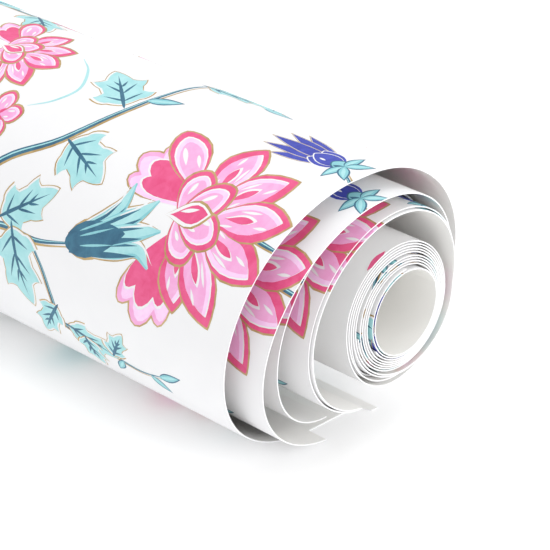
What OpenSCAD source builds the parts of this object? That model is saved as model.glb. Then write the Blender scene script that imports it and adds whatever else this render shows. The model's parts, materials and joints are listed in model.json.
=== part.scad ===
// Bundle of printed gift wrap, rolled: five sheets lie on each other and are wound together.
// Each sheet makes one loose outer turn and about two tight turns in the core coil.
// The roll lies along X on the plane z = 0, and its fanned near end faces +X.

/* [Sheet] */
// Cut size of a sheet round the roll
sheet_round = 345; // [335:1:347]
// Cut size of a sheet along the roll
sheet_along = 500; // [300:10:700]
// Thickness of the paper
paper_t = 0.3; // [0.2:0.05:0.35]

/* [Outer turn] */
// Radius of the outermost turn, to the middle of the paper
outer_r = 34.1; // [33.9:0.1:35.5]
// Half the amount by which the outermost turn is wider than high
outer_flat = 1.7; // [1.2:0.1:2.4]
// How far the resting strip reaches past the middle of the roll
rest_reach = 16; // [8:1:18]

/* [Core coil] */
// Radius of the bore through the coil
bore_r = 10.5; // [10:0.1:10.6]
// Height of the coil's axis
coil_z = 31.4; // [31:0.1:31.8]
// Sideways place of the coil's axis
coil_y = 12.85; // [12.6:0.05:13.1]
// Distance from one sheet to the next, paper and air
pitch = 0.5; // [0.45:0.05:0.5]

/* [Fan of the near end] */
// Scale of the fan: 0 is knocked flush, 1 is the resting fan
fan = 1; // [0:0.1:1.5]

/* [Hidden] */
NODES = ["sheet_1", "sheet_2", "sheet_3", "sheet_4", "sheet_5"];
$fn = 180;

SHEETS = len(NODES);
half_step = SHEETS * pitch / 2;            // the coil's radius falls by this every half turn
last_r = bore_r + paper_t / 2;             // sheet 5's last turn, to the middle of the paper
first_r = last_r + 3 * half_step + (SHEETS - 1) * pitch;   // sheet 1's first half turn in the coil
low_c = [coil_y, coil_z];                  // centre of the coil's lower half turns
high_c = [coil_y - half_step, coil_z];     // centre of its upper half turns
outer_z = outer_r + paper_t / 2;           // the resting strip lies on z = 0
BIG = 2 * outer_r + 60;                    // larger than the whole section
REACH = BIG + sheet_along / 2;             // half the side of a slab that stays wider than the roll when it leans
END_MARGIN = 40;                           // each strip is drawn this much too long, then cut by the slab
LAST_TURN = 135;                           // sheet 5 goes on round the bore by up to this angle
SHORTEST = 0.5;                            // a shorter rest of a sheet is left out

// The outer turns of sheets 2 to 5, to the middle of the paper: radius, centre y, centre z,
// and the y at which the free end stops.
OUTER = [[31.35, 0.9, 32.3, -4], [28.0, 3.6, 32.6, -1], [24.9, 5.5, 34.25, 0], [24.25, 5.5, 34.25, 0.5]];

// The near edge of each sheet: its x on the outer turn, the slopes of that edge in y and z,
// and its x in the coil.
EDGE = [[0, 0.04, 0.13, 5.0], [3.6, -0.03, 0.17, 5.4], [-1.0, -0.14, 0.14, 5.8],
        [6.5, -0.03, 0.09, 6.2], [7.2, -0.03, 0.09, 6.6]];
FAN_BACK = 2;                              // sets the whole fan back, so that the bundle is centred on x = 0
near_x = sheet_along / 2 - FAN_BACK;       // the fan is measured from here

// ---- path of a sheet ----
// An arc is [centre, radius, start angle, end angle], clockwise as seen from the near end.
// A straight is [start, end]. Every piece starts where the one before it ends, and in its direction.
function is_arc(s) = len(s) == 4;
function seg_len(s) = is_arc(s) ? s[1] * (s[2] - s[3]) * PI / 180 : norm(s[1] - s[0]);
function cut_seg(s, l) = is_arc(s) ? [s[0], s[1], s[2], s[2] - l / s[1] * 180 / PI]
                                   : [s[0], s[0] + (s[1] - s[0]) * l / norm(s[1] - s[0])];

// The outer turn ends at the right, heading down, level with the coil's axis.
function outer_turn(i) = i == 0
    ? [[[rest_reach, paper_t / 2], [-outer_flat, paper_t / 2]],
       [[-outer_flat, outer_z], outer_r, -90, -270],
       [[-outer_flat, outer_z + outer_r], [outer_flat, outer_z + outer_r]],
       [[outer_flat, outer_z], outer_r, -270, -360],
       [[right_y(0), outer_z], [right_y(0), coil_z]]]
    : let (o = OUTER[i - 1], a = -acos((o[3] - o[1]) / o[0]))
      [[[o[1], o[2]], o[0], a, -360], [[right_y(i), o[2]], [right_y(i), coil_z]]];
function right_y(i) = i == 0 ? outer_flat + outer_r : OUTER[i - 1][0] + OUTER[i - 1][1];

// The entry is the half turn under the coil, from the outer turn to the coil's left side.
function coil_r(i, h) = first_r - i * pitch - h * half_step;   // h counts half turns
function left_y(i) = high_c[0] - coil_r(i, 0);
function entry(i) = let (r = (right_y(i) - left_y(i)) / 2) [[[left_y(i) + r, coil_z], r, 0, -180]];

// The coil: upper and lower half turns in turn, and a last stretch round the bore.
function coil_turns(i) = [for (h = [0:3]) h % 2 == 0 ? [high_c, coil_r(i, h), -180, -360]
                                                     : [low_c, coil_r(i, h), 0, -180],
                          [low_c, coil_r(i, 3), -180, -180 - LAST_TURN]];

function total(p, n = 0) = n >= len(p) ? 0 : seg_len(p[n]) + total(p, n + 1);
// Keeps the first l millimetres of a path.
function trim(p, l, n = 0) = n >= len(p) || l <= SHORTEST ? []
    : let (s = seg_len(p[n])) s <= l ? concat([p[n]], trim(p, l - s, n + 1)) : [cut_seg(p[n], l)];
function coil_part(i) = trim(coil_turns(i), sheet_round - total(outer_turn(i)) - total(entry(i)));

// ---- solids ----
// Flat strip of one piece of the path. Local x and y stand for the roll's y and z.
module strip(s) {
    if (is_arc(s)) intersection() {
        translate(s[0]) difference() {
            circle(r = s[1] + paper_t / 2);
            circle(r = s[1] - paper_t / 2);
        }
        translate(s[0]) wedge(s[3], s[2] - s[3]);
    } else {
        d = s[1] - s[0];
        translate(s[0]) rotate(atan2(d[1], d[0])) translate([0, -paper_t / 2]) square([norm(d), paper_t]);
    }
}

// Sector from angle a, turning through the sweep; quarter by quarter, so each piece is convex.
module wedge(a, sweep) {
    steps = ceil(sweep / 90);
    for (k = [0:steps - 1]) {
        a0 = a + sweep * k / steps;
        a1 = a + sweep * (k + 1) / steps;
        m = (a0 + a1) / 2;
        polygon([[0, 0], BIG * [cos(a0), sin(a0)], 2 * BIG * [cos(m), sin(m)], BIG * [cos(a1), sin(a1)]]);
    }
}

// Extrudes part of a path along the roll, between two parallel end planes. The near plane goes
// through p and leans by the slopes in y and z.
module wound(path, p, slope) {
    n = [1, -slope[0], -slope[1]] / norm([1, slope[0], slope[1]]);
    intersection() {
        translate([near_x - sheet_along - END_MARGIN, 0, 0]) rotate([90, 0, 90])
            linear_extrude(sheet_along + 2 * END_MARGIN) union() for (s = path) strip(s);
        translate(p - [sheet_along, 0, 0]) rotate(acos(n[0]), slope == [0, 0] ? [0, 0, 1] : [0, -n[2], n[1]])
            translate([0, -REACH, -REACH]) cube([sheet_along * n[0], 2 * REACH, 2 * REACH]);
    }
}

module sheet(i) {
    e = EDGE[i];
    c = i == 0 ? [0, outer_z] : [OUTER[i - 1][1], OUTER[i - 1][2]];
    x_loop = near_x + fan * e[0];
    x_coil = near_x + fan * e[3];
    slope = fan * [e[1], e[2]];
    x_right = x_loop + slope[0] * (right_y(i) - c[0]) + slope[1] * (coil_z - c[1]);
    wound(outer_turn(i), [x_loop, c[0], c[1]], slope);
    wound(entry(i), [x_coil, left_y(i), coil_z], [(x_right - x_coil) / (right_y(i) - left_y(i)), 0]);
    wound(coil_part(i), [x_coil, coil_y, coil_z], [0, 0]);
}

// Outermost sheet: its free end lies flat and carries the roll.
module sheet_1() color("#f6f4f2") sheet(0);
module sheet_2() color("#f0c6e4") sheet(1);
module sheet_3() color("#f4f1ee") sheet(2);
module sheet_4() color("#bfe3e6") sheet(3);
// Innermost sheet: its last turn is the wall of the bore.
module sheet_5() color("#f2efec") sheet(4);

sheet_1();
sheet_2();
sheet_3();
sheet_4();
sheet_5();
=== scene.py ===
"""Rolled bundle of printed gift wrap: five identical sheets, wound together, with a fanned near end.

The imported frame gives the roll's sizes and bodies. Each sheet is a slab of paper and one layer of
ink for each colour. Both are drawn flat, in millimetres of the cut sheet, and then wound on the
sheet's path by a Geometry Nodes tree.
"""

from __future__ import annotations

import json
import logging
import math
from dataclasses import dataclass, field
from enum import Enum
from typing import Any, Sequence

import bmesh
import bpy
import numpy as np
from mathutils import Matrix, Vector
from mathutils.geometry import delaunay_2d_cdt

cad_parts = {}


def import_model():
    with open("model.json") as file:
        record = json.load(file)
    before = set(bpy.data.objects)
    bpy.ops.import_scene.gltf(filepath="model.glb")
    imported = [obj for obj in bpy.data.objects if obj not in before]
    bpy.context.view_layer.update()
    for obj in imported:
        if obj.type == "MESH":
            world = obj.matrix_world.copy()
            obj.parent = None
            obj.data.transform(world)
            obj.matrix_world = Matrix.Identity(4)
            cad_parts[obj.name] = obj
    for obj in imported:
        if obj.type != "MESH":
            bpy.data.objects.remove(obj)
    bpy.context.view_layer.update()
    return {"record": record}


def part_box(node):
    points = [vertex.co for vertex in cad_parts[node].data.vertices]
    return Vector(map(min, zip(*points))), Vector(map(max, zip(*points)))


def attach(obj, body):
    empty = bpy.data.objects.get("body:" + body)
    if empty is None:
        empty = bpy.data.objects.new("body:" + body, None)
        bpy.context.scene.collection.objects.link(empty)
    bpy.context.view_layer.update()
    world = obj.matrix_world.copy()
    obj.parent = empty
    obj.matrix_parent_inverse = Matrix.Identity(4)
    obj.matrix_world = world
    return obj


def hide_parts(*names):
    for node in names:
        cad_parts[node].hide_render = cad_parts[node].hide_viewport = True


LOG = logging.getLogger("gift_wrap")

Point = tuple[float, float]
MM = 0.001
SHEET_ROUND = 345.0     # cut size of a sheet round the roll, in mm
SHEET_ALONG = 500.0     # and along it
PAPER_T = 0.3           # thickness of the paper, as in the frame
CAD_PITCH = 0.5         # from one sheet to the next in the frame's coil
COIL_PITCH = 0.575      # and in the drawn coil, whose turns lie a little looser
HALF_FLAT = 1.7         # half the amount by which the outermost turn is wider than high
FAN_BACK = 2.0          # the fan sets the sheets forward, so it starts this far behind half a sheet
LINE_STEP = 1.875       # distance between the lines that paper and ink bend on
INK_RISE = 0.02         # the ink film stands this far above the paper: thick enough not to flicker
LEVEL = 0.6             # a face whose normal agrees this well with the winding is printed or felt side
CLOSE = 1e-3            # two places on the flat sheet are the same when they lie this near


# ------------------------------------------------------------------ colour and node helpers


def srgb(code: str) -> tuple[float, float, float, float]:
    """Turn an sRGB hex colour into linear RGBA.

    Args:
        code: six hex digits, with or without a leading hash.

    Returns:
        Linear red, green, blue and an alpha of 1.
    """
    code = code.lstrip("#")
    parts = [int(code[i : i + 2], 16) / 255 for i in (0, 2, 4)]
    linear = [c / 12.92 if c <= 0.04045 else ((c + 0.055) / 1.055) ** 2.4 for c in parts]
    return (*linear, 1.0)


def add_node(tree: bpy.types.NodeTree, kind: str, settings: dict[str, Any] | None = None,
             inputs: dict[Any, Any] | None = None) -> bpy.types.Node:
    """Add one node, set its properties, and set or link its inputs.

    Args:
        tree: the node tree that takes the node.
        kind: the node's bl_idname.
        settings: properties of the node itself.
        inputs: input name or index to a value, or to an output socket to link.

    Returns:
        The new node.
    """
    node = tree.nodes.new(kind)
    for name, value in (settings or {}).items():
        setattr(node, name, value)
    for name, value in (inputs or {}).items():
        if isinstance(value, bpy.types.NodeSocket):
            tree.links.new(value, node.inputs[name])
        else:
            node.inputs[name].default_value = value
    return node


# ------------------------------------------------------------------ finishes


class Ink(Enum):
    """The colours that the sheet is printed in. PAPER is bare paper left inside a shape."""

    PAPER = "paper"
    BRONZE = "bronze"
    ROSE = "rose"
    PINK = "pink"
    PALE = "pale"
    TEAL = "teal"
    SEA = "sea"
    AQUA = "aqua"
    COBALT = "cobalt"


@dataclass(frozen=True)
class PaperFinish:
    """Bleached machine-finished wrapping paper: bright white, faintly clouded, with a soft sheen."""

    name: str = "bleached_kraft_paper_machine_finished"
    bright: str = "f2f2f3"
    cloud: str = "ededef"
    felt: str = "fbfaf7"        # the unprinted side is a warmer white, so the bore and loops go cream
    roughness: float = 0.62
    ior: float = 1.5
    formation_mm: float = 9.0   # cloudy formation seen when paper is held to the light
    fibre_mm: float = 0.45      # fibres, drawn about ten times too coarse so that they show
    fibre_depth_mm: float = 0.012
    gloss_spread: float = 0.06
    relief: float = 0.35

    def material(self) -> bpy.types.Material:
        """Build the paper: clouds in colour and gloss, and a fibre grain in relief."""
        mat = bpy.data.materials.new(self.name)
        mat.use_nodes = True
        tree = mat.node_tree
        shader = tree.nodes["Principled BSDF"]
        lay = add_node(tree, "ShaderNodeUVMap", {"uv_map": "lay"})
        clouds = add_node(tree, "ShaderNodeTexNoise", None,
                          {"Vector": lay.outputs[0], "Scale": 1 / (self.formation_mm * MM), "Detail": 3.0})
        ramp = add_node(tree, "ShaderNodeMix", {"data_type": "RGBA"},
                        {0: clouds.outputs[0], 6: srgb(self.bright), 7: srgb(self.cloud)})
        side = add_node(tree, "ShaderNodeAttribute", {"attribute_name": "felt"})
        both = add_node(tree, "ShaderNodeMix", {"data_type": "RGBA"},
                        {0: side.outputs["Fac"], 6: ramp.outputs[2], 7: srgb(self.felt)})
        tree.links.new(both.outputs[2], shader.inputs["Base Color"])
        fibre = add_node(tree, "ShaderNodeTexNoise", None,
                         {"Vector": lay.outputs[0], "Scale": 1 / (self.fibre_mm * MM), "Detail": 4.0,
                          "Roughness": 0.65})
        gloss = add_node(tree, "ShaderNodeMapRange", None,
                         {0: fibre.outputs[0], 3: self.roughness - self.gloss_spread,
                          4: self.roughness + self.gloss_spread})
        tree.links.new(gloss.outputs[0], shader.inputs["Roughness"])
        bump = add_node(tree, "ShaderNodeBump", None,
                        {"Height": fibre.outputs[0], "Distance": self.fibre_depth_mm * MM,
                         "Strength": self.relief})
        tree.links.new(bump.outputs[0], shader.inputs["Normal"])
        shader.inputs["IOR"].default_value = self.ior
        return mat


@dataclass(frozen=True)
class InkFinish:
    """Water-based flexo ink on paper: flat and slightly mottled where the paper drank more of it."""

    name: str
    full: str
    thin: str
    roughness: float = 0.55
    metallic: float = 0.0
    mottle_mm: float = 3.5      # size of the patches where the ink lies thinner
    grain_mm: float = 0.45      # the paper's grain shows through the ink
    grain_depth_mm: float = 0.01
    gloss_spread: float = 0.07
    relief: float = 0.3

    def material(self) -> bpy.types.Material:
        """Build the ink: brush-like mottle between its full and thin colours, over paper grain."""
        mat = bpy.data.materials.new(self.name)
        mat.use_nodes = True
        tree = mat.node_tree
        shader = tree.nodes["Principled BSDF"]
        lay = add_node(tree, "ShaderNodeUVMap", {"uv_map": "lay"})
        mottle = add_node(tree, "ShaderNodeTexNoise", None,
                          {"Vector": lay.outputs[0], "Scale": 1 / (self.mottle_mm * MM), "Detail": 4.0,
                           "Roughness": 0.6, "Distortion": 0.6})
        spread = add_node(tree, "ShaderNodeMapRange", None, {0: mottle.outputs[0], 1: 0.35, 2: 0.65})
        tint = add_node(tree, "ShaderNodeMix", {"data_type": "RGBA"},
                        {0: spread.outputs[0], 6: srgb(self.full), 7: srgb(self.thin)})
        tree.links.new(tint.outputs[2], shader.inputs["Base Color"])
        grain = add_node(tree, "ShaderNodeTexNoise", None,
                         {"Vector": lay.outputs[0], "Scale": 1 / (self.grain_mm * MM), "Detail": 3.0})
        gloss = add_node(tree, "ShaderNodeMapRange", None,
                         {0: grain.outputs[0], 3: self.roughness - self.gloss_spread,
                          4: self.roughness + self.gloss_spread})
        tree.links.new(gloss.outputs[0], shader.inputs["Roughness"])
        bump = add_node(tree, "ShaderNodeBump", None,
                        {"Height": grain.outputs[0], "Distance": self.grain_depth_mm * MM,
                         "Strength": self.relief})
        tree.links.new(bump.outputs[0], shader.inputs["Normal"])
        shader.inputs["Metallic"].default_value = self.metallic
        return mat


INKS: dict[Ink, InkFinish] = {
    Ink.BRONZE: InkFinish("bronze_outline_ink", "b2925c", "c9ad7a", 0.42, 0.25),
    Ink.ROSE: InkFinish("deep_rose_ink", "e24a80", "ea5f92"),
    Ink.PINK: InkFinish("lilac_pink_ink", "f1a4d6", "f5b6e1"),
    Ink.PALE: InkFinish("pale_pink_ink", "f9c9f2", "fbd9f7"),
    Ink.TEAL: InkFinish("dark_teal_ink", "2c5f7b", "3c758f"),
    Ink.SEA: InkFinish("sea_green_ink", "82c6cf", "93d0d7"),
    Ink.AQUA: InkFinish("aqua_ink", "a0d9dd", "b2e3e6"),
    Ink.COBALT: InkFinish("cobalt_ink", "343da6", "4552bb"),
}


# ------------------------------------------------------------------ drawing on the flat sheet


@dataclass
class Shape:
    """One flat area of a single ink, on the page.

    The page is the printed face as it is seen: x to the right towards the near edge, y up, away
    from the free end, both in millimetres. The near edge is x = 0 and the free end is y = 0.
    """

    ink: Ink
    points: np.ndarray


def lens(base: Point, angle: float, length: float, half_width: float, bulge: float = 0.42,
         bend: float = 0.0, blunt: float = 1.0, start: float = 0.0, count: int = 11) -> np.ndarray:
    """Outline a petal-like shape, pointed at its tip.

    Args:
        base: where the shape starts.
        angle: direction from base to tip, in degrees.
        length: distance from base to tip.
        half_width: half the greatest width.
        bulge: where along the length the shape is widest, 0 to 1.
        bend: sideways drift of the tip, as a share of the length.
        blunt: 1 for pointed ends, and less for rounder ones.
        start: share of the length left out at the base.
        count: points along one side.

    Returns:
        The outline's points, anticlockwise.
    """
    t = start + (1 - start) * (1 - np.cos(np.linspace(0, np.pi, count))) / 2
    power = math.log(0.5) / math.log(bulge)
    w = half_width * np.clip(np.sin(np.pi * t**power), 0, 1) ** blunt
    mid = bend * length * t**2
    upper = np.stack([t * length, mid + w], -1)
    lower = np.stack([t * length, mid - w], -1)
    outline = np.concatenate([lower, upper[-2:0 if start == 0 else None:-1]])
    return place(outline, base, angle)


def place(points: np.ndarray, base: Point, angle: float, scale: float = 1.0) -> np.ndarray:
    """Turn points by an angle in degrees, scale them, and move them to base."""
    a = math.radians(angle)
    turn = np.array([[math.cos(a), math.sin(a)], [-math.sin(a), math.cos(a)]])
    return points @ turn * scale + np.array(base)


def smooth(points: Sequence[Point], per: int = 6) -> np.ndarray:
    """Run a smooth curve (Catmull-Rom) through points, with per steps between two of them."""
    p = np.array(points, float)
    p = np.concatenate([[2 * p[0] - p[1]], p, [2 * p[-1] - p[-2]]])
    out = []
    for i in range(1, len(p) - 2):
        for t in np.linspace(0, 1, per, endpoint=False):
            a, b, c, d = p[i - 1 : i + 3]
            out.append(0.5 * (2 * b + (c - a) * t + (2 * a - 5 * b + 4 * c - d) * t**2
                              + (3 * b - a - 3 * c + d) * t**3))
    return np.array(out + [p[-2]])


def stroke(points: Sequence[Point], width: float, head: float = 0.15, tail: float = 0.15,
           per: int = 6, shift: float = 0.0) -> np.ndarray:
    """Outline a brush stroke along a smooth curve.

    Args:
        points: places the stroke passes through.
        width: its width in the middle.
        head: width at the start, as a share of the middle's.
        tail: width at the end, as a share of the middle's.
        per: steps between two points.
        shift: how far the whole stroke is moved to its left.

    Returns:
        The outline's points.
    """
    line = smooth(points, per)
    step = np.gradient(line, axis=0)
    size = np.maximum(np.hypot(step[:, 0], step[:, 1]), 1e-9)
    left = np.stack([-step[:, 1], step[:, 0]], -1) / size[:, None]
    t = np.linspace(0, 1, len(line))
    ends = np.minimum(head + (1 - head) * np.sin(np.pi * np.clip(t, 0, 0.5)),
                      tail + (1 - tail) * np.sin(np.pi * np.clip(t, 0.5, 1)))
    w = (0.5 * width * ends)[:, None]
    line = line + left * shift
    return np.concatenate([line - left * w, (line + left * w)[::-1]])


def scallops(anchors: Sequence[Point], bulges: Sequence[float], per: int = 4) -> np.ndarray:
    """Join anchors by arcs that bulge to the left, each by its own share, as a lobed edge does."""
    p = np.array(anchors, float)
    out = []
    for a, b, bulge in zip(p[:-1], p[1:], bulges):
        d = b - a
        mid = (a + b) / 2 + np.array([-d[1], d[0]]) * bulge
        t = np.linspace(0, 1, per, endpoint=False)[:, None]
        out.append((1 - t) ** 2 * a + 2 * t * (1 - t) * mid + t**2 * b)
    return np.concatenate(out + [p[-1:]])


def spot(base: Point, angle: float, along: float, aside: float = 0.0) -> Point:
    """Give the point that lies along and aside of a base, seen in a direction in degrees."""
    x, y = place(np.array([[along, aside]]), base, angle)[0]
    return (float(x), float(y))


def flame_petal(base: Point, angle: float, length: float, half: float, bend: float = 0.0,
                side: int = 1) -> list[Shape]:
    """Draw a pointed petal: bronze line, heavy rose rim, pale body, white brush marks and a streak.

    Args:
        base: where the petal starts.
        angle: its direction, in degrees.
        length: its length.
        half: half its width.
        bend: sideways drift of its tip, as a share of the length.
        side: 1 or -1, the side that the light falls on.

    Returns:
        Its shapes, back to front.
    """
    def part(ink: Ink, along: float, aside: float, reach: float, wide: float, widest: float = 0.56) -> Shape:
        start = spot(base, angle, along * length, aside * side * half)
        return Shape(ink, lens(start, angle, reach * length, wide * half, widest, bend * reach, 0.85))

    return [
        Shape(Ink.BRONZE, lens(base, angle, length + 0.6, half + 0.4, 0.57, bend, 0.85)),
        Shape(Ink.ROSE, lens(base, angle, length, half, 0.57, bend, 0.85)),
        part(Ink.PAPER, 0.03, 0.1, 0.87, 0.74),
        part(Ink.PALE, 0.03, 0.06, 0.85, 0.72),
        part(Ink.PINK, 0.03, -0.05, 0.82, 0.62),
        part(Ink.PAPER, 0.34, 0.42, 0.28, 0.07),
        part(Ink.PAPER, 0.58, -0.26, 0.18, 0.08),
        part(Ink.PAPER, 0.14, -0.34, 0.2, 0.06),
        part(Ink.PAPER, 0.2, 0.05, 0.4, 0.24, 0.6),
        part(Ink.ROSE, 0.2, 0.0, 0.36, 0.18, 0.62),
    ]


def cup_petal(base: Point, angle: float, length: float, half: float, bend: float = 0.0) -> list[Shape]:
    """Draw a round inner petal: bronze line, rose rim, pink body and a pale light on its edge."""
    def part(ink: Ink, along: float, reach: float, wide: float, aside: float = 0.0) -> Shape:
        start = spot(base, angle, along * length, aside * half)
        return Shape(ink, lens(start, angle, reach * length, wide * half, 0.6, bend * reach, 0.6))

    return [
        Shape(Ink.BRONZE, lens(base, angle, length + 0.5, half + 0.45, 0.6, bend, 0.6)),
        Shape(Ink.ROSE, lens(base, angle, length, half, 0.6, bend, 0.6)),
        part(Ink.PAPER, 0.02, 0.88, 0.82),
        part(Ink.PALE, 0.03, 0.84, 0.74),
        part(Ink.PINK, 0.05, 0.74, 0.6),
        part(Ink.PAPER, 0.4, 0.3, 0.13, 0.34),
        part(Ink.PAPER, 0.3, 0.22, 0.1, -0.3),
    ]


def curled_petal(base: Point, angle: float, length: float, half: float, bend: float) -> list[Shape]:
    """Draw a petal that curls over: a lip of three pink lobes round a solid rose inside."""
    def lobes(ink: Ink, reach: float, wide: float, grow: float, aside: float) -> list[Shape]:
        """Draw the three lobes in one ink, as shares of the petal, grown by some mm."""
        start = spot(base, angle, 0.0, aside * half)
        return [Shape(ink, lens(start, angle + turn, share * reach * length + grow, wide * size * half + grow,
                                0.7, bend, 0.55))
                for turn, share, size in ((15, 0.9, 0.62), (-15, 0.92, 0.62), (0, 1.0, 0.8))]

    return [*lobes(Ink.BRONZE, 1.0, 1.0, 0.45, 0.0), *lobes(Ink.PINK, 1.0, 1.0, 0.0, 0.0),
            *lobes(Ink.PALE, 0.95, 0.86, 0.0, 0.1), *lobes(Ink.PAPER, 0.85, 0.86, 0.0, -0.12),
            *lobes(Ink.ROSE, 0.82, 0.8, 0.0, -0.14)]


def vein_leaf(base: Point, angle: float, length: float, half: float, bend: float = 0.0) -> list[Shape]:
    """Draw a lobed leaf: bronze line set a little off the aqua blade, and dark veins that fork.

    Args:
        base: where the leaf meets its stem.
        angle: its direction, in degrees.
        length: its length.
        half: half its width, at the tips of the lower lobes.
        bend: sideways drift of its tip, as a share of the length.

    Returns:
        Its shapes, back to front.
    """
    side = [(0.0, 0.03), (0.1, 0.5), (0.3, 1.0), (0.36, 0.62), (0.5, 0.66), (0.7, 0.86), (0.72, 0.42),
            (1.0, 0.0)]
    bulges = [-b for b in (0.05, 0.2, -0.12, 0.05, 0.16, -0.1, 0.16)]
    top = scallops(side[::-1], bulges[::-1])
    low = scallops([(x, -y) for x, y in side], bulges)

    def blade(grow: float, off: float = 0.0) -> np.ndarray:
        """Outline the blade, grown and set off to its left by some mm."""
        pts = np.concatenate([low, top]) * [length, half]
        centre = np.array([0.5 * length, 0.0])
        pts = centre + (pts - centre) * (1 + grow * np.array([2 / length, 1 / half]))
        pts[:, 1] += bend * length * (pts[:, 0] / length) ** 2 + off
        return place(pts, base, angle)

    def rib(x0: float, x1: float, y1: float, wide: float) -> Shape:
        """Draw a vein from the midrib at x0 to the place x1, y1, all as shares of the leaf."""
        ends = np.array([[x0 * length, bend * length * x0**2],
                         [x1 * length, y1 * half + bend * length * x1**2]])
        a, b = place(ends, base, angle)
        turn = math.degrees(math.atan2(b[1] - a[1], b[0] - a[0]))
        return Shape(Ink.TEAL, lens(tuple(a), turn, float(np.hypot(*(b - a))), wide, 0.3, count=7))

    pairs = ((0.08, 0.2, 0.66), (0.3, 0.3, 0.52), (0.5, 0.18, 0.24))
    ribs = [rib(x, x + reach, sign * y, 0.34) for x, reach, y in pairs for sign in (1, -1)]
    return [Shape(Ink.BRONZE, blade(0.75, 0.25)), Shape(Ink.PAPER, blade(0.4, 0.25)),
            Shape(Ink.AQUA, blade(0.0)), rib(-0.12, 0.88, 0.0, 0.5), *ribs]


def slim_leaf(base: Point, angle: float, length: float, half: float, bend: float = 0.0) -> list[Shape]:
    """Draw a slim leaf: dark line, sea-green blade and an aqua light."""
    return [Shape(Ink.TEAL, lens(base, angle, length, half, 0.4, bend)),
            Shape(Ink.SEA, lens(base, angle, length * 0.92, half * 0.72, 0.42, bend * 0.92)),
            Shape(Ink.AQUA, lens(base, angle, length * 0.8, half * 0.3, 0.5, bend * 0.6, start=0.15))]


def vine(points: Sequence[Point], width: float) -> list[Shape]:
    """Draw a woody stem: dark stroke with a bronze line on one side and a fine aqua light."""
    return [Shape(Ink.BRONZE, stroke(points, width * 0.5, 0.4, 0.3, shift=-0.6 * width)),
            Shape(Ink.TEAL, stroke(points, width, 0.5, 0.3)),
            Shape(Ink.AQUA, stroke(points, width * 0.22, 0.2, 0.2, shift=width * 0.12))]


def calyx(base: Point, angle: float, length: float) -> list[Shape]:
    """Draw the bell that holds a bloom: a dark cup whose striped sepals run on and flare out."""
    sepals = (([(0.02, 0.03), (0.25, 0.1), (0.45, 0.17), (0.6, 0.29), (0.69, 0.49)], 0.16),
              ([(0.02, -0.03), (0.3, -0.09), (0.55, -0.13), (0.8, -0.17), (0.92, -0.36)], 0.19),
              ([(0.02, 0.0), (0.3, 0.05), (0.6, 0.12), (0.8, 0.18), (0.97, 0.28)], 0.19),
              ([(0.02, 0.0), (0.3, -0.01), (0.6, 0.0), (0.85, -0.01), (1.04, -0.03)], 0.19))

    def sweep(ink: Ink, line: Sequence[Point], width: float, shift: float = 0.0) -> Shape:
        """Draw a tapering stroke along a line that is given in shares of the bell's length."""
        path = [(x * length, y * length) for x, y in line]
        return Shape(ink, place(stroke(path, width, 0.5, 0.06, shift=shift), base, angle))

    cup = spot(base, angle, -0.04 * length)
    out = [sweep(Ink.BRONZE, line, width * length + 1.3, 0.15) for line, width in sepals]
    out.append(Shape(Ink.BRONZE, lens(cup, angle, 0.66 * length, 0.2 * length, 0.45, 0.0, 0.75)))
    out += [sweep(Ink.PAPER, line, width * length + 0.6, 0.15) for line, width in sepals]
    for line, width in sepals:
        wide = width * length
        out += [sweep(Ink.SEA, line, wide), sweep(Ink.AQUA, line, 0.72 * wide, 0.08 * wide),
                sweep(Ink.TEAL, line[:4], 0.3 * wide, -0.3 * wide),
                sweep(Ink.TEAL, line[:4], 0.22 * wide, 0.22 * wide),
                sweep(Ink.PAPER, line[2:], 0.1 * wide, 0.34 * wide)]
    out.append(Shape(Ink.TEAL, lens(cup, angle, 0.7 * length, 0.175 * length, 0.4, 0.0, 0.8)))
    for turn, aside in ((4, 0.04), (-6, -0.05), (10, 0.09)):
        root = spot(base, angle, 0.14 * length, aside * length)
        out.append(Shape(Ink.SEA, lens(root, angle + turn, 0.4 * length, 0.012 * length, 0.4)))
    return out


def bloom(heart: Point, facing: float, size: float) -> list[Shape]:
    """Draw a large open bloom, seen from the side.

    Args:
        heart: centre of the bloom.
        facing: direction that it opens towards, in degrees.
        size: length of its longest petals.

    Returns:
        Its shapes, back to front.
    """
    curled = ((139, 0.95, 0.2, 0.05), (-117, 1.13, 0.21, -0.03))    # turn, reach, half width, bend
    flames = ((-98, 0.94, 0.19, 0.05, 1), (70, 0.94, 0.21, 0.0, -1), (-76, 1.13, 0.2, 0.06, 1),
              (-41, 1.06, 0.21, 0.04, -1), (30, 0.94, 0.21, -0.02, 1), (-6, 0.98, 0.22, 0.02, 1))
    out: list[Shape] = []
    for turn, reach, half, bend in curled:
        out += curled_petal(spot(heart, facing + turn, 0.1 * size), facing + turn, reach * size,
                            half * size, bend)
    out += cup_petal(spot(heart, facing + 116, 0.3 * size), facing + 116, 0.84 * size, 0.19 * size, 0.06)
    for turn, reach, half, bend, side in flames:
        out += flame_petal(spot(heart, facing + turn, 0.14 * size), facing + turn, (reach - 0.14) * size,
                           half * size, bend, side)
    for turn, reach in ((66, 0.5), (-60, 0.52), (22, 0.56), (-24, 0.56)):
        out += cup_petal(spot(heart, facing + 180, 0.2 * size), facing + turn, reach * size, 0.18 * size,
                         0.12 if turn > 0 else -0.12)
    bud = spot(heart, facing + 180, 0.34 * size)
    light = spot(bud, facing, 0.16 * size, 0.03 * size)
    out += [Shape(Ink.BRONZE, lens(bud, facing, 0.52 * size, 0.15 * size, 0.6)),
            Shape(Ink.PAPER, lens(bud, facing, 0.49 * size, 0.13 * size, 0.6)),
            Shape(Ink.ROSE, lens(spot(bud, facing, 0.06 * size), facing, 0.4 * size, 0.1 * size, 0.62)),
            Shape(Ink.PAPER, lens(light, facing + 6, 0.2 * size, 0.022 * size, 0.5))]
    return out


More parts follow.
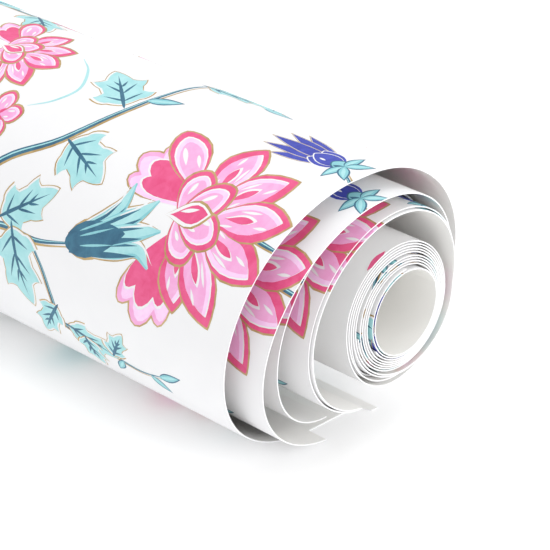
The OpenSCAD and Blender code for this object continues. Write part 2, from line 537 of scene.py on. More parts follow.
def blossom(heart: Point, facing: float, size: float) -> list[Shape]:
    """Draw a small five-petalled blossom with a rose eye."""
    out: list[Shape] = []
    for k in range(5):
        out += cup_petal(heart, facing + 72 * k, size, 0.36 * size, 0.04)
    for k in range(5):
        out.append(Shape(Ink.ROSE, lens(heart, facing + 36 + 72 * k, 0.42 * size, 0.07 * size, 0.5, count=7)))
    return out


def thistle(base: Point, angle: float, size: float) -> list[Shape]:
    """Draw a thistle: a fan of cobalt spikes over a round bulb, and four small sepals."""
    spikes = ((-17, 0.9, 0.085), (18, 0.86, 0.09), (-9, 1.04, 0.09), (9, 1.06, 0.085), (0, 1.12, 0.09))
    out: list[Shape] = []
    for turn, reach, wide in spikes:
        way, bend = angle + turn, turn * 0.003
        root = spot(base, way, 0.1 * size)
        out += [Shape(Ink.BRONZE, lens(root, way, reach * size + 0.5, wide * size + 0.3, 0.45, bend)),
                Shape(Ink.PAPER, lens(root, way, reach * size, wide * size + 0.12, 0.45, bend)),
                Shape(Ink.COBALT, lens(root, way, reach * size * 0.98, wide * size, 0.45, bend))]
    for turn, wide in ((-16, 0.13), (15, 0.14), (0, 0.14)):
        way = angle + turn
        root = spot(base, angle, 0.02 * size)
        light = spot(root, way, 0.26 * size, 0.04 * size)
        out += [Shape(Ink.PAPER, lens(root, way, 0.5 * size, wide * size + 0.25, 0.5, 0.0, 0.7)),
                Shape(Ink.COBALT, lens(root, way, 0.48 * size, wide * size, 0.5, 0.0, 0.7)),
                Shape(Ink.PAPER, lens(light, way, 0.1 * size, 0.018 * size, 0.5, 0.0, 0.6))]
    cup = spot(base, angle, -0.05 * size)
    out += [Shape(Ink.TEAL, lens(cup, angle, 0.26 * size, 0.12 * size, 0.5, 0.0, 0.6)),
            Shape(Ink.SEA, lens(cup, angle, 0.24 * size, 0.1 * size, 0.5, 0.0, 0.6)),
            Shape(Ink.TEAL, lens(cup, angle + 20, 0.2 * size, 0.03 * size, 0.5))]
    for turn in (78, -78, 128, -128):
        out += slim_leaf(base, angle + turn, 0.36 * size, 0.08 * size, 0.14 if turn > 0 else -0.14)
    return out


@dataclass
class FloralPrint:
    """The repeat of the print, drawn once and laid in dropped rows over the sheet."""

    width: float        # repeat along the roll, in mm
    height: float       # repeat round the roll, in mm
    drop: float         # each row lies this much further from the near edge than the row before
    line_step: float    # distance between the lines that the ink is cut on, so that it can bend
    trims: Sequence[float] = ()     # extra cuts in the ink, where a sheet's edge may fall
    shapes: list[Shape] = field(default_factory=list)

    def draw(self) -> None:
        """Place every motif of one repeat, back to front."""
        s = self.shapes
        # Spray one: a trunk that parts into the vine and the stem of the great bloom.
        s += vine([(-112, -14), (-107, 14), (-100, 38), (-94, 60), (-92, 78), (-82, 93), (-70, 103),
                   (-63, 116), (-61, 128), (-61, 141)], 1.7)
        s += vine([(-93, 70), (-84, 76), (-74, 79), (-63, 79), (-52, 82)], 1.5)
        s += vine([(-65, 79), (-59, 73), (-55.5, 67), (-52.5, 60), (-46, 58), (-38, 57), (-28, 55.5),
                   (-20, 57.5)], 1.1)
        s += vine([(-99, 40), (-88, 30), (-72, 26), (-56, 28), (-44, 24)], 1.3)
        # Spray two, towards the far side of the repeat, and the stems of the small flowers.
        s += vine([(-158, 122), (-152, 132), (-138, 140), (-122, 142), (-106, 150), (-96, 158)], 1.4)
        s += vine([(-152, 132), (-156, 148), (-150, 160), (-154, 176)], 1.2)
        s += vine([(-156, 14), (-150, 30), (-156, 46), (-150, 60), (-155, 78), (-150, 94)], 1.3)
        s += vine([(-60, 141), (-52, 152), (-38, 158), (-24, 156)], 1.1)
        s += vine([(9, 98), (8, 110), (3, 120), (-5, 126)], 1.1)
        s += vine([(-9, 100), (2, 99)], 1.1)
        s += [Shape(Ink.AQUA, stroke([(-86, 107), (-81, 111), (-79, 117), (-84, 124), (-90, 128)], 0.8)),
              Shape(Ink.AQUA, stroke([(-20, 40), (-12, 34), (-14, 26), (-22, 22), (-26, 14)], 0.8))]
        for base, angle, length, half, bend in (
                ((-65, 118), 138, 17, 7.0, 0.1), ((-67, 103), -18, 16, 7.0, -0.06),
                ((-61, 141), 12, 18, 3.6, -0.06), ((-75, 81), 36, 17, 6.0, 0.06),
                ((-71, 79), -66, 20, 7.0, 0.05), ((-54, 64), 236, 13, 4.2, 0.1),
                ((-50, 59.5), -16, 16, 4.2, 0.08), ((-36, 57), 70, 9, 3.4, -0.1),
                ((-45, 58), -80, 10, 3.8, 0.1), ((-95, 58), 160, 18, 7.5, -0.1),
                ((-100, 38), 150, 15, 6.5, 0.1), ((-106, 16), 20, 18, 7.5, -0.1),
                ((-106, 14), 170, 17, 7.0, 0.1), ((-80, 27), -70, 17, 7.0, 0.1),
                ((-66, 27), 84, 16, 6.5, 0.1), ((-138, 140), 70, 18, 7.5, -0.1),
                ((-122, 142), -40, 15, 6.0, 0.1), ((-154, 150), 184, 15, 6.0, 0.1),
                ((-154, 50), -10, 15, 6.0, 0.1), ((-152, 30), 200, 15, 6.0, -0.1),
                ((-156, 78), 20, 14, 6.0, 0.1), ((-50, 154), -60, 16, 6.5, 0.1),
                ((-34, 158), 70, 14, 6.0, -0.1),
        ):
            s += vein_leaf(base, angle, length, half, bend)
        for base, angle, length, half in (
                ((-21, 57), 24, 8, 1.5), ((-24, 56), -34, 7, 1.4), ((-33, 56), -120, 6, 1.3),
                ((-44, 142), 0, 9, 1.7), ((-104, 26), 160, 10, 1.9), ((-96, 52), 20, 10, 1.9),
                ((-62, 122), 30, 9, 1.8), ((-151, 92), 130, 9, 1.8), ((-151, 92), 50, 9, 1.8),
                ((-116, 166), 30, 10, 1.9), ((-119, 158), 200, 10, 1.9),
        ):
            s += slim_leaf(base, angle, length, half)
        s += [Shape(Ink.ROSE, lens((-118.6, 91.5), 84, 6.5, 0.9, 0.5, 0.1))]
        s += bloom((-23.5, 99.5), 20, 24)
        s += calyx((-53, 82), 26, 25)
        s += calyx((-46, 23), -14, 13)
        s += bloom((-30, 18), -14, 16)
        s += bloom((-106, 121), 4, 15.5)
        s += bloom((-88, 163), 30, 15)
        s += bloom((-147, 106), 100, 13)
        s += blossom((-92, 102), 20, 7.0)
        s += blossom((-16, 154), 10, 8.0)
        s += blossom((-150, 8), 50, 8.5)
        s += blossom((-116, 148), 30, 5.0)
        s += thistle((-6, 127.5), 177, 18.5)
        s += vine([(-70, -6), (-74, 4), (-76, 10)], 1.0)
        s += thistle((-75, 4), 100, 15)

    def inks(self) -> dict[Ink, bpy.types.Mesh]:
        """Cut the drawing into triangles that lie between the bending lines.

        Returns:
            One flat mesh for each ink. Its x runs round the roll and its y along it, in mm.
        """
        verts: list[tuple[float, float]] = []
        edges: list[tuple[int, int]] = []
        faces: list[list[int]] = []
        owners: list[Ink] = []
        for shape in self.shapes:
            flat = np.stack([shape.points[:, 1], -shape.points[:, 0]], -1)
            low, high = flat.min(0), flat.max(0)
            for row in (-1, 0, 1):
                for column in (-1, 0, 1):
                    move = np.array([row * self.height, column * self.width + row * self.drop])
                    if np.any(high + move <= 0) or np.any(low + move >= (self.height, self.width)):
                        continue
                    faces.append(list(range(len(verts), len(verts) + len(flat))))
                    owners.append(shape.ink)
                    verts += [tuple(p) for p in flat + move]
        count = round(self.height / self.line_step)
        lines = [((k * self.line_step, 0.0), (k * self.line_step, self.width)) for k in range(count + 1)]
        lines += [((0.0, v), (self.height, v)) for v in (0.0, self.width, *self.trims)]
        for ends in lines:
            verts += ends
            edges.append((len(verts) - 2, len(verts) - 1))
        cut = delaunay_2d_cdt([Vector(v) for v in verts], edges, faces, 0, 1e-5, True)
        points = np.array([tuple(v) for v in cut[0]])
        made: dict[Ink, list[tuple[int, ...]]] = {ink: [] for ink in INKS}
        for tri, source in zip(cut[2], cut[5]):
            if not source:
                continue
            ink = owners[max(source)]
            centre = points[list(tri)].mean(0)
            inside = 0 < centre[0] < self.height and 0 < centre[1] < self.width
            if ink is not Ink.PAPER and inside:
                made[ink].append(tuple(tri))
        return {ink: self._mesh(ink, points, tris) for ink, tris in made.items()}

    def _mesh(self, ink: Ink, points: np.ndarray, tris: list[tuple[int, ...]]) -> bpy.types.Mesh:
        """Make a flat mesh of the triangles of one ink, facing the printed side, with no needless cuts."""
        used = sorted({i for tri in tris for i in tri})
        index = {old: new for new, old in enumerate(used)}
        mesh = bpy.data.meshes.new(f"repeat_{ink.value}")
        mesh.from_pydata([(points[i][0], points[i][1], 0.0) for i in used], [],
                         [tuple(index[i] for i in tri) for tri in tris])
        work = bmesh.new()
        work.from_mesh(mesh)
        for edge in work.edges:
            a, b = (v.co for v in edge.verts)
            bends = abs(a.x - b.x) < CLOSE and abs(a.x / self.line_step - round(a.x / self.line_step)) < CLOSE
            trims = abs(a.y - b.y) < CLOSE and any(abs(a.y - v) < CLOSE for v in self.trims)
            edge.seam = bends or trims
        bmesh.ops.dissolve_limit(work, angle_limit=0.01, use_dissolve_boundaries=False, verts=work.verts[:],
                                 edges=work.edges[:], delimit={"SEAM"})
        bmesh.ops.triangulate(work, faces=work.faces[:])
        work.to_mesh(mesh)
        work.free()
        return mesh


# ------------------------------------------------------------------ the path of a wound sheet


@dataclass
class Arc:
    """A stretch of the path: an arc, or a straight where radius is 0, in the roll's y and z."""

    centre: Point
    radius: float
    start: float
    sweep: float
    end: Point = (0.0, 0.0)

    @property
    def length(self) -> float:
        """Length along the paper's middle, in mm."""
        if self.radius:
            return self.radius * math.radians(self.sweep)
        return math.dist(self.centre, self.end)

    def at(self, along: float) -> tuple[Point, Point]:
        """Give the point and the outward direction at a distance along the stretch."""
        if self.radius:
            a = math.radians(self.start) - along / self.radius
            out = (math.cos(a), math.sin(a))
            return (self.centre[0] + self.radius * out[0], self.centre[1] + self.radius * out[1]), out
        t = along / self.length
        step = ((self.end[0] - self.centre[0]) / self.length, (self.end[1] - self.centre[1]) / self.length)
        place_at = (self.centre[0] + (self.end[0] - self.centre[0]) * t,
                    self.centre[1] + (self.end[1] - self.centre[1]) * t)
        return place_at, (-step[1], step[0])


@dataclass
class Core:
    """The tight coil that all the sheets share, as the frame's bore mount places it."""

    centre_y: float
    centre_z: float
    bore_r: float
    paper_t: float
    pitch: float
    cad_pitch: float
    sheets: int
    creep: float = 0.4      # the near edge comes forward by this in each half turn, as wound paper does
    inner_turn: float = 156.0       # how far the last half turn may go on round the bore

    @property
    def steps(self) -> tuple[float, ...]:
        """How much the coil's radius falls at each half turn: less and less, as sheets run out."""
        return (2.5 * self.pitch, 2.0 * self.pitch, 1.5 * self.pitch, 0.5 * self.pitch)

    def radius(self, sheet: int, half_turn: int) -> float:
        """Radius of a sheet's half turn, to the middle of the paper."""
        innermost = self.bore_r + self.paper_t / 2
        return innermost + (self.sheets - 1 - sheet) * self.pitch + sum(self.steps[half_turn:3]) - (
            self.steps[3] if half_turn > 3 else 0.0)

    def centre(self, half_turn: int) -> Point:
        """Centre of a half turn: each shifts sideways, so that it goes on from the one before."""
        y = self.centre_y - self.sheets * self.cad_pitch / 2
        for h in range(half_turn):
            y += self.steps[h] if h % 2 == 0 else -self.steps[h]
        return (y, self.centre_z)

    def turns(self, sheet: int) -> list[Arc]:
        """List a sheet's half turns from the outside in, and a last stretch round the bore."""
        out = [Arc(self.centre(h), self.radius(sheet, h), 180.0 if h % 2 == 0 else 0.0, 180.0)
               for h in range(len(self.steps))]
        last = len(self.steps)
        return [*out, Arc(self.centre(last), self.radius(sheet, last), 180.0, self.inner_turn)]

    def left_y(self, sheet: int) -> float:
        """Where a sheet joins the coil, at its left side."""
        return self.centre(0)[0] - self.radius(sheet, 0)


# ------------------------------------------------------------------ geometry nodes


class WindTree:
    """Geometry Nodes that lay a flat piece side by side over the sheet and wind it on a path."""

    def __init__(self) -> None:
        """Build the tree once; every sheet and ink uses it with its own inputs."""
        self.tree = bpy.data.node_groups.new("wind_on_the_roll", "GeometryNodeTree")
        self.sockets: dict[str, str] = {}
        face = self.tree.interface
        face.new_socket("Geometry", in_out="INPUT", socket_type="NodeSocketGeometry")
        face.new_socket("Geometry", in_out="OUTPUT", socket_type="NodeSocketGeometry")
        for name, kind in (("Path", "Object"), ("Line step", "Float"), ("Rows", "Int"), ("Columns", "Int"),
                           ("Repeat round", "Float"), ("Repeat along", "Float"), ("Drop", "Float"),
                           ("Start round", "Float"), ("Start along", "Float"), ("Sheet round", "Float"),
                           ("Sheet along", "Float"), ("Scale", "Float"), ("Finish", "Material")):
            item = face.new_socket(name, in_out="INPUT", socket_type=f"NodeSocket{kind}")
            self.sockets[name] = item.identifier
        self._fill()

    def _add(self, kind: str, settings: dict[str, Any] | None = None,
             inputs: dict[Any, Any] | None = None) -> bpy.types.Node:
        """Add a node to this tree."""
        return add_node(self.tree, kind, settings, inputs)

    def _math(self, how: str, a: Any, b: Any = 0.0) -> bpy.types.NodeSocket:
        """Add a Math node and give its output."""
        return self._add("ShaderNodeMath", {"operation": how}, {0: a, 1: b}).outputs[0]

    def _fill(self) -> None:
        """Add the nodes: repeat, realize, look up the path, move every point, name the lay."""
        start = self._add("NodeGroupInput").outputs
        # A point for each repeat, row by row, each row dropped along the roll; then a copy on each.
        total = self._math("MULTIPLY", start["Rows"], start["Columns"])
        index = self._add("GeometryNodeInputIndex").outputs[0]
        row = self._math("FLOOR", self._math("DIVIDE", self._math("ADD", index, 0.5), start["Columns"]))
        column = self._math("SUBTRACT", index, self._math("MULTIPLY", row, start["Columns"]))
        dropped = self._math("FLOORED_MODULO", self._math("MULTIPLY", row, start["Drop"]),
                             start["Repeat along"])
        across = self._math("ADD", dropped, self._math("MULTIPLY", column, start["Repeat along"]))
        corner = self._add("ShaderNodeCombineXYZ", None, {
            0: self._math("ADD", start["Start round"], self._math("MULTIPLY", row, start["Repeat round"])),
            1: self._math("ADD", start["Start along"], across)})
        grid = self._add("GeometryNodePoints", None, {"Count": total, "Position": corner.outputs[0]})
        copies = self._add("GeometryNodeInstanceOnPoints", None,
                           {"Points": grid.outputs[0], "Instance": start["Geometry"]})
        whole_web = self._add("GeometryNodeRealizeInstances", None, {0: copies.outputs[0]})
        # The sheet is cut out of the printed web: what lies past its edges goes.
        web = self._add("ShaderNodeSeparateXYZ", None, {0: self._add("GeometryNodeInputPosition").outputs[0]})
        past_round = self._math("MAXIMUM", self._math("MULTIPLY", web.outputs[0], -1.0),
                                self._math("SUBTRACT", web.outputs[0], start["Sheet round"]))
        past_along = self._math("MAXIMUM", self._math("MULTIPLY", web.outputs[1], -1.0),
                                self._math("SUBTRACT", web.outputs[1], start["Sheet along"]))
        past = self._math("GREATER_THAN", self._math("MAXIMUM", past_round, past_along), 1e-3)
        flat = self._add("GeometryNodeDeleteGeometry", {"domain": "FACE"},
                         {"Geometry": whole_web.outputs[0], "Selection": past})
        # The flat point says where on the path it goes: x round, y along, z above the paper's middle.
        position = self._add("GeometryNodeInputPosition").outputs[0]
        here = self._add("ShaderNodeSeparateXYZ", None, {0: position})
        lines = self._math("DIVIDE", here.outputs[0], start["Line step"])
        whole = self._math("FLOOR", self._math("ADD", lines, 1e-4))
        part = self._math("MAXIMUM", self._math("SUBTRACT", lines, whole), 0.0)
        after = self._math("ADD", whole, 1.0)
        path = self._add("GeometryNodeObjectInfo", {"transform_space": "ORIGINAL"}, {"Object": start["Path"]})
        outward = self._add("GeometryNodeInputNamedAttribute", {"data_type": "FLOAT_VECTOR"},
                            {"Name": "outward"})
        line = path.outputs["Geometry"]
        middle = self._look_up(line, position, whole, after, part)
        out = self._look_up(line, outward.outputs[0], whole, after, part)
        raised = self._add("ShaderNodeVectorMath", {"operation": "SCALE"}, {0: out, "Scale": here.outputs[2]})
        wound = self._add("ShaderNodeVectorMath", {"operation": "ADD"}, {0: middle, 1: raised.outputs[0]})
        back = self._add("ShaderNodeCombineXYZ", None, {0: self._math("MULTIPLY", here.outputs[1], -1.0)})
        placed = self._add("ShaderNodeVectorMath", {"operation": "ADD"},
                           {0: wound.outputs[0], 1: back.outputs[0]})
        metres = self._add("ShaderNodeVectorMath", {"operation": "SCALE"},
                           {0: placed.outputs[0], "Scale": start["Scale"]})
        lay = self._add("ShaderNodeVectorMath", {"operation": "SCALE"},
                        {0: position, "Scale": start["Scale"]})
        named = self._add("GeometryNodeStoreNamedAttribute", {"data_type": "FLOAT2", "domain": "CORNER"},
                          {"Geometry": flat.outputs[0], "Name": "lay", "Value": lay.outputs[0]})
        faced = self._add("GeometryNodeStoreNamedAttribute", {"data_type": "FLOAT_VECTOR", "domain": "POINT"},
                          {"Geometry": named.outputs[0], "Name": "outward", "Value": out})
        moved = self._add("GeometryNodeSetPosition", None,
                          {"Geometry": faced.outputs[0], "Position": metres.outputs[0]})
        dressed = self._add("GeometryNodeSetMaterial", None,
                            {"Geometry": moved.outputs[0], "Material": start["Finish"]})
        self._add("NodeGroupOutput", None, {0: dressed.outputs[0]})

    def _look_up(self, geometry: Any, value: Any, before: Any, after: Any, part: Any) -> bpy.types.NodeSocket:
        """Read a vector of the path at two neighbouring lines and mix them."""
        ends = [self._add("GeometryNodeSampleIndex", {"data_type": "FLOAT_VECTOR", "clamp": True},
                          {"Geometry": geometry, "Value": value, "Index": at}).outputs[0]
                for at in (before, after)]
        mixed = self._add("ShaderNodeMix", {"data_type": "VECTOR"}, {0: part, 4: ends[0], 5: ends[1]})
        return mixed.outputs[1]

    def wind(self, name: str, flat: bpy.types.Mesh, values: dict[str, Any]) -> bpy.types.Object:
        """Wind a flat mesh and return it as a plain object.

        Args:
            name: the new object's name.
            flat: the mesh to wind, in mm of the flat sheet.
            values: a value for each named input of the tree.

        Returns:
            The wound object, with no modifier left on it.
        """
        holder = bpy.data.objects.new(name + "_flat", flat)
        bpy.context.scene.collection.objects.link(holder)
        modifier = holder.modifiers.new("wind", "NODES")
        modifier.node_group = self.tree
        for key, value in values.items():
            modifier[self.sockets[key]] = value
        bpy.context.view_layer.update()
        ready = holder.evaluated_get(bpy.context.evaluated_depsgraph_get())
        mesh = bpy.data.meshes.new_from_object(ready)
        mesh.name = name
        bpy.data.objects.remove(holder)
        obj = bpy.data.objects.new(name, mesh)
        bpy.context.scene.collection.objects.link(obj)
        return obj


# ------------------------------------------------------------------ a sheet


@dataclass
class Fan:
    """The lie of a sheet's near edge: its x on the outer turn, how it leans, and its x in the coil."""

    outer_x: float
    lean_y: float
    lean_z: float
    coil_x: float
    tuck: float = 0.0           # how much further back the edge lies at the very bottom
    tuck_height: float = 50.0   # below this height it starts to tuck back


@dataclass
class Sheet:
    """One cut sheet of the bundle, wound on its own path."""

    number: int
    free_y: float               # where the free end stops
    fan: Fan
    core: Core
    round_mm: float
    along_mm: float
    near_x: float
    line_step: float
    register: Point = (0.0, 0.0)    # where the print's repeat starts, round and along the sheet
    cuts_along: int = 10            # the slab is cut into this many pieces along the roll

    @property
    def node(self) -> str:
        """Name of the sheet's node and body in the frame."""
        return f"sheet_{self.number}"

    def outer_turn(self) -> tuple[list[Arc], Point]:
        """List the stretches of the outer turn, read off the node's box, and give its centre.

        Returns:
            The stretches from the free end on, and the centre that the near edge's lean turns about.
        """
        low, high = (np.array(corner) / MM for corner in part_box(self.node))
        half_t = self.core.paper_t / 2
        left, right, top = low[1] + half_t, high[1] - half_t, high[2] - half_t
        middle = (left + right) / 2
        if self.number > 1:
            radius = (right - left) / 2
            centre = (middle, top - radius)
            start = -math.degrees(math.acos((self.free_y - middle) / radius))
            turn = [Arc(centre, radius, start, 360 + start)]
        else:
            radius = (top - half_t) / 2
            centre = (middle, top - radius)
            flat = (right - left) / 2 - radius
            turn = [Arc((self.free_y, half_t), 0.0, 0.0, 0.0, (-flat, half_t)),
                    Arc((-flat, centre[1]), radius, -90.0, 180.0),
                    Arc((-flat, top), 0.0, 0.0, 0.0, (flat, top)), Arc((flat, centre[1]), radius, 90.0, 90.0)]
        return [*turn, Arc((right, centre[1]), 0.0, 0.0, 0.0, (right, self.core.centre_z))], centre

    def near_edge(self, number: int, outer: int, share: float, at: Point, centre: Point,
                  ends: Point) -> float:
        """Give how far forward the near edge is at a point of the path.

        Args:
            number: which stretch of the path the point lies on.
            outer: how many stretches the outer turn has.
            share: how far along its stretch the point lies, 0 to 1.
            at: the point.
            centre: centre of the outer turn.
            ends: the entry's left and right y.

        Returns:
            The edge's x, measured from the fan's own place, in mm.
        """
        fan = self.fan
        if number < outer:
            low = max(0.0, 1 - at[1] / fan.tuck_height) if at[0] < self.core.centre_y else 0.0
            lean = fan.lean_y * (at[0] - centre[0]) + fan.lean_z * (at[1] - centre[1])
            return fan.outer_x + lean - fan.tuck * low**2
        if number == outer:
            left, right = ends
            lean = fan.lean_y * (right - centre[0]) + fan.lean_z * (self.core.centre_z - centre[1])
            edge = fan.outer_x + lean
            return fan.coil_x + (edge - fan.coil_x) * (at[0] - left) / (right - left)
        return fan.coil_x + self.core.creep * (number - outer - 1 + share)

    def path(self) -> bpy.types.Object:
        """Make the path: a point every line step, with its outward direction and its near edge's x."""
        turn, centre = self.outer_turn()
        right, left = turn[-1].centre[0], self.core.left_y(self.number - 1)
        radius = (right - left) / 2
        stretches = [*turn, Arc((left + radius, self.core.centre_z), radius, 0.0, 180.0),
                     *self.core.turns(self.number - 1)]
        points, outward = [], []
        number, done = 0, 0.0
        for k in range(round(self.round_mm / self.line_step) + 1):
            along = k * self.line_step
            while number < len(stretches) - 1 and along - done > stretches[number].length:
                done += stretches[number].length
                number += 1
            at, out = stretches[number].at(along - done)
            edge = self.near_edge(number, len(turn), (along - done) / stretches[number].length, at, centre,
                                  (left, right))
            points.append((self.near_x + edge, *at))
            outward.append((0.0, *out))
        mesh = bpy.data.meshes.new(f"{self.node}_path")
        mesh.from_pydata(points, [(i, i + 1) for i in range(len(points) - 1)], [])
        named = mesh.attributes.new("outward", "FLOAT_VECTOR", "POINT")
        named.data.foreach_set("vector", np.array(outward).ravel())
        obj = bpy.data.objects.new(mesh.name, mesh)
        bpy.context.scene.collection.objects.link(obj)
        return obj

    def slab(self) -> bpy.types.Mesh:
        """Make the flat paper: a closed slab cut on the same lines as the ink."""
        cols = round(self.round_mm / self.line_step)
        rows = self.cuts_along
        half = self.core.paper_t / 2
        verts = [(i * self.line_step, self.along_mm * j / rows, h)
                 for h in (half, -half) for i in range(cols + 1) for j in range(rows + 1)]
        layer = (cols + 1) * (rows + 1)

        def at(i: int, j: int, k: int) -> int:
            """Number of the corner on bending line i and cut j, on the printed side (0) or the other."""
            return k * layer + i * (rows + 1) + j

        faces = []
        for i in range(cols):
            for j in range(rows):
                faces.append((at(i, j, 0), at(i + 1, j, 0), at(i + 1, j + 1, 0), at(i, j + 1, 0)))
                faces.append((at(i, j, 1), at(i, j + 1, 1), at(i + 1, j + 1, 1), at(i + 1, j, 1)))
            faces.append((at(i, 0, 1), at(i + 1, 0, 1), at(i + 1, 0, 0), at(i, 0, 0)))
            faces.append((at(i, rows, 0), at(i + 1, rows, 0), at(i + 1, rows, 1), at(i, rows, 1)))
        for j in range(rows):
            faces.append((at(0, j, 0), at(0, j + 1, 0), at(0, j + 1, 1), at(0, j, 1)))
            faces.append((at(cols, j, 1), at(cols, j + 1, 1), at(cols, j + 1, 0), at(cols, j, 0)))
        mesh = bpy.data.meshes.new(f"{self.node}_flat")
        mesh.from_pydata(verts, [], faces)
        felt = mesh.attributes.new("felt", "FLOAT", "FACE")
        felt.data.foreach_set("value", [float(all(v >= layer for v in face)) for face in faces])
        return mesh

    def build(self, tree: WindTree, repeats: dict[Ink, bpy.types.Mesh], art: FloralPrint,
              paper: bpy.types.Material, inks: dict[Ink, bpy.types.Material]) -> list[bpy.types.Object]:
        """Wind the paper and every ink of this sheet, and put them on the sheet's body.

        Args:
            tree: the winding tree.
            repeats: the flat repeat of each ink.
            art: the print, for the size of its repeat.
            paper: the paper's finish.
            inks: the finish of each ink.

        Returns:
            The pieces of the sheet, paper first.
        """
        path = self.path()
        values = {"Path": path, "Line step": self.line_step, "Sheet round": self.round_mm,
                  "Sheet along": self.along_mm, "Scale": MM}
        once = {"Rows": 1, "Columns": 1, "Repeat round": self.round_mm, "Repeat along": self.along_mm,
                "Drop": 0.0, "Start round": 0.0, "Start along": 0.0}
        many = {"Rows": math.ceil((self.round_mm - self.register[0]) / art.height),
                "Columns": math.ceil(self.along_mm / art.width) + 2, "Repeat round": art.height,
                "Repeat along": art.width, "Drop": art.drop, "Start round": self.register[0],
                "Start along": self.register[1] - art.width}
        body = tree.wind(f"{self.node}_paper", self.slab(), {**values, **once, "Finish": paper})
        face_normals(body.data)
        pieces = [body]
        for ink, flat in repeats.items():
            layer = flat.copy()
            layer.transform(Matrix.Translation((0, 0, self.core.paper_t / 2 + INK_RISE)))
            piece = tree.wind(f"{self.node}_ink_{ink.value}", layer, {**values, **many, "Finish": inks[ink]})
            face_normals(piece.data)
            pieces.append(piece)
        bpy.data.objects.remove(path)
        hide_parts(self.node)
        for piece in pieces:
            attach(piece, self.node)
        return pieces


def face_normals(mesh: bpy.types.Mesh) -> None:
    """Shade a wound mesh as the smooth surface that it follows, with crisp cut edges."""
    outward = np.zeros(len(mesh.vertices) * 3)
    mesh.attributes["outward"].data.foreach_get("vector", outward)
    outward = outward.reshape(-1, 3)
    outward /= np.maximum(np.linalg.norm(outward, axis=1), 1e-9)[:, None]
    corners = np.zeros(len(mesh.loops), int)
    mesh.loops.foreach_get("vertex_index", corners)
    flat = np.zeros(len(mesh.polygons) * 3)
    mesh.polygons.foreach_get("normal", flat)
    sizes = np.zeros(len(mesh.polygons), int)
    mesh.polygons.foreach_get("loop_total", sizes)
    flat = np.repeat(flat.reshape(-1, 3), sizes, axis=0)
    out = outward[corners]
    side = (out * flat).sum(1)
    faces_in = (side < -LEVEL)[:, None]
    normals = np.where((side > LEVEL)[:, None], out, np.where(faces_in, -out, flat))
    mesh.polygons.foreach_set("use_smooth", np.ones(len(mesh.polygons), bool))
    mesh.normals_split_custom_set(normals.tolist())
    mesh.attributes.remove(mesh.attributes["outward"])


# ------------------------------------------------------------------ studio


@dataclass(frozen=True)
class Lamp:
    """A square soft lamp that points at the near end."""

    name: str
    place: tuple[float, float, float]
    size: float
    watts: float
    target: tuple[float, float, float] = (0.2, 0.0, 0.0)

    def hang(self) -> None:
        """Add the lamp to the scene."""
        data = bpy.data.lights.new(self.name, "AREA")
        data.size = self.size
        data.energy = self.watts
        lamp = bpy.data.objects.new(self.name, data)
        lamp.location = self.place
        aim = Vector(self.target) - Vector(self.place)
        lamp.rotation_euler = aim.to_track_quat("-Z", "Y").to_euler()
        bpy.context.scene.collection.objects.link(lamp)


@dataclass
class Studio:
    """A white board in a bright room, soft lamps, and the camera at the near end's left."""

    near_x: float
    room: float = 0.72          # strength of the even light of the room
    board_half: float = 6.0     # half the side of the board, in metres
    board: str = "fafafa"
    board_glow: float = 0.15    # the board glows of itself, painted light that keeps the shadows on it faint
    lamps: tuple[Lamp, ...] = (Lamp("key_lamp", (0.1, 0.1, 1.6), 1.4, 11.0),
                               Lamp("front_lamp", (1.6, 0.1, 0.5), 1.2, 11.0))
    camera_mm: tuple[float, float, float] = (333.8, -370.5, 311.3)      # x is measured from near_x
    azimuth: float = 43.8
    elevation: float = 28.3
    lens_mm: float = 168.0
    sensor_mm: float = 36.0

    def build(self) -> None:
        """Set up the room, the board, the lamps and the camera."""
        scene = bpy.context.scene
        scene.view_settings.view_transform = "Standard"
        world = bpy.data.worlds.new("bright_room")
        scene.world = world
        world.use_nodes = True
        sky = world.node_tree.nodes["Background"]
        sky.inputs["Color"].default_value = (1.0, 1.0, 1.0, 1.0)
        sky.inputs["Strength"].default_value = self.room
        self._table()
        for lamp in self.lamps:
            lamp.hang()
        self._camera()

    def _table(self) -> None:
        """Lay the table: a wide, matt, white board that glows faintly, a painted light that lifts its
        shadows.
        """
        mesh = bpy.data.meshes.new("table")
        half = self.board_half
        corners = [(-half, -half, 0), (half, -half, 0), (half, half, 0), (-half, half, 0)]
        mesh.from_pydata(corners, [], [(0, 1, 2, 3)])
        table = bpy.data.objects.new("table", mesh)
        bpy.context.scene.collection.objects.link(table)
        mat = bpy.data.materials.new("white_laminate_board")
        mat.use_nodes = True
        shader = mat.node_tree.nodes["Principled BSDF"]
        shader.inputs["Base Color"].default_value = srgb(self.board)
        shader.inputs["Roughness"].default_value = 1.0
        shader.inputs["Specular IOR Level"].default_value = 0.0
        # painted light: the board emits a faint white glow so that shadows cast on it stay pale
        shader.inputs["Emission Color"].default_value = srgb("ffffff")
        shader.inputs["Emission Strength"].default_value = self.board_glow
        mesh.materials.append(mat)

    def _camera(self) -> None:
        """Stand the camera to the left of the near end, looking down along the roll."""
        a, e = math.radians(self.azimuth), math.radians(self.elevation)
        back = Vector((math.sin(a) * math.cos(e), -math.cos(a) * math.cos(e), math.sin(e)))
        data = bpy.data.cameras.new("camera")
        data.lens = self.lens_mm
        data.sensor_width = self.sensor_mm
        data.clip_start = 0.01
        camera = bpy.data.objects.new("camera", data)
        camera.location = (Vector((self.near_x, 0, 0)) + Vector(self.camera_mm)) * MM
        camera.rotation_euler = back.to_track_quat("Z", "Y").to_euler()
        bpy.context.scene.collection.objects.link(camera)
        bpy.context.scene.camera = camera


# ------------------------------------------------------------------ main


@dataclass(frozen=True)
class Lie:
    """How one sheet lies in the bundle: its near edge, and where its print starts."""

    fan: Fan
    register: Point
    free_y: float | None = None     # where its free end stops; None is the end of the resting strip


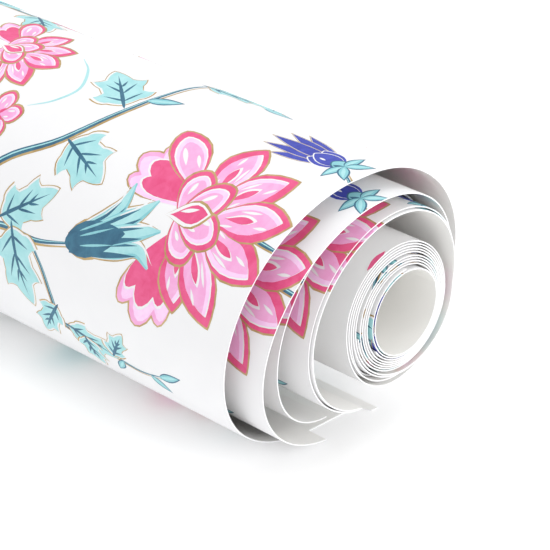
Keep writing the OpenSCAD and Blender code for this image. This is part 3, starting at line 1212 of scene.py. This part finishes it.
LIES = (
    Lie(Fan(0.0, 0.04, 0.13, 5.0, 3.8), (0.0, 0.0)),
    Lie(Fan(3.6, -0.03, 0.17, 5.15), (-35.625, -2.0), -4.0),
    Lie(Fan(-1.0, -0.14, 0.14, 5.3), (-41.25, -3.0), -1.0),
    Lie(Fan(6.5, -0.03, 0.09, 5.45), (-41.25, -5.0), 0.0),
    Lie(Fan(7.2, -0.03, 0.09, 5.6), (-41.25, -5.5), 0.5),
)
REPEATS_ALONG = 3       # the print repeats so many times along the sheet
REPEATS_ROUND = 2       # and so many times round it
ROW_SHIFT = 118.0       # each row of the print starts this much nearer to the near edge than the last


def read_core(mounts: dict[str, Any], sheets: int) -> Core:
    """Read the coil's place and bore from the record's mount."""
    bore = mounts["coil_bore"]
    return Core(bore["pos_m"][1] / MM, bore["pos_m"][2] / MM, bore["dims"]["r_mm"], PAPER_T, COIL_PITCH,
                CAD_PITCH, sheets)


def main() -> None:
    """Build the bundle sheet by sheet and light it."""
    logging.basicConfig(level=logging.INFO, format="%(message)s")
    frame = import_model()
    mounts = {mount["name"]: mount for mount in frame["record"]["mounts"]}
    strip_end = 2 * mounts["rest_strip"]["pos_m"][1] / MM + HALF_FLAT
    core = read_core(mounts, len(LIES))
    near_x = SHEET_ALONG / 2 - FAN_BACK
    width = SHEET_ALONG / REPEATS_ALONG
    drop = width - ROW_SHIFT
    trims = [(-lie.register[1] - row * drop) % width for lie in LIES for row in range(REPEATS_ROUND + 1)]
    art = FloralPrint(width, SHEET_ROUND / REPEATS_ROUND, drop, LINE_STEP, trims)
    art.draw()
    repeats = art.inks()
    triangles = sum(len(mesh.polygons) for mesh in repeats.values())
    LOG.info("print: %d shapes, %d triangles", len(art.shapes), triangles)
    tree = WindTree()
    paper = PaperFinish().material()
    inks = {ink: finish.material() for ink, finish in INKS.items()}
    for number, lie in enumerate(LIES, 1):
        free_y = strip_end if lie.free_y is None else lie.free_y
        sheet = Sheet(number, free_y, lie.fan, core, SHEET_ROUND, SHEET_ALONG, near_x, LINE_STEP,
                      lie.register)
        for piece in sheet.build(tree, repeats, art, paper, inks):
            LOG.info("%s: %d faces", piece.name, len(piece.data.polygons))
    Studio(near_x).build()


if __name__ == "__main__":
    main()
